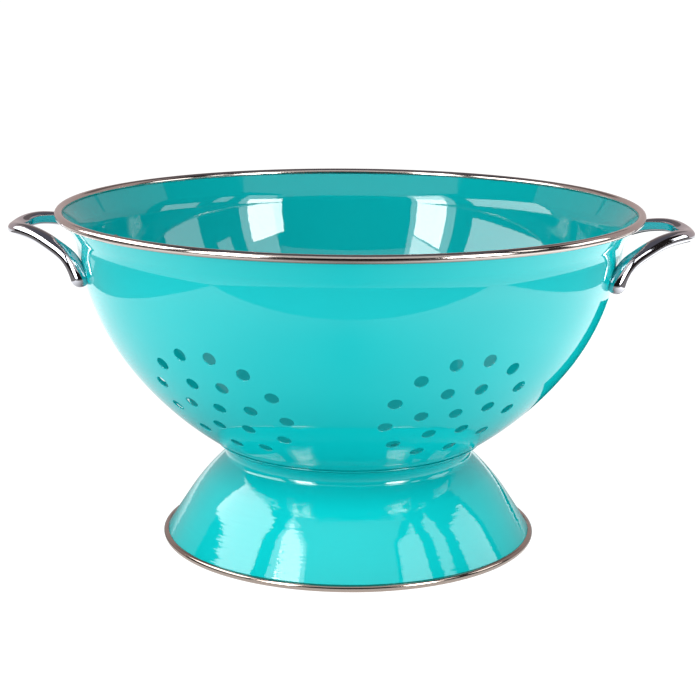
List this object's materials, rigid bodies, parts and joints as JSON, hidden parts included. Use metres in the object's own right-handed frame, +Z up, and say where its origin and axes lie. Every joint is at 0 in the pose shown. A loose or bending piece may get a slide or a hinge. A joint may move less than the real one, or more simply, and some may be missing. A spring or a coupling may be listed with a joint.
{
  "type": "colander",
  "caption": "Footed bowl colander: spun and powder-coated steel with clusters of drain holes, rolled steel rim bands and cast loop handles riveted to its sides.",
  "frame": {"origin": "centre of the foot's base, on the surface that the colander stands on", "axes": "+Z up along the bowl's axis, +X towards the right handle, so both handles lie along X"},
  "size_m": [0.3404, 0.29, 0.1681],
  "materials": {
    "powder_coat": "gloss turquoise powder coat on spun steel",
    "stainless_band": "rolled stainless strip, bright",
    "chrome_plate": "bright chrome plate on a casting",
    "rivet_steel": "pressed stainless"
  },
  "bodies": {
    "root": {"bowl": "powder_coat", "bowl_rim_band": "stainless_band", "foot": "powder_coat", "foot_rim_band": "stainless_band", "right_handle": "chrome_plate", "left_handle": "chrome_plate", "handle_rivets": "rivet_steel"}
  },
  "joints": []
}
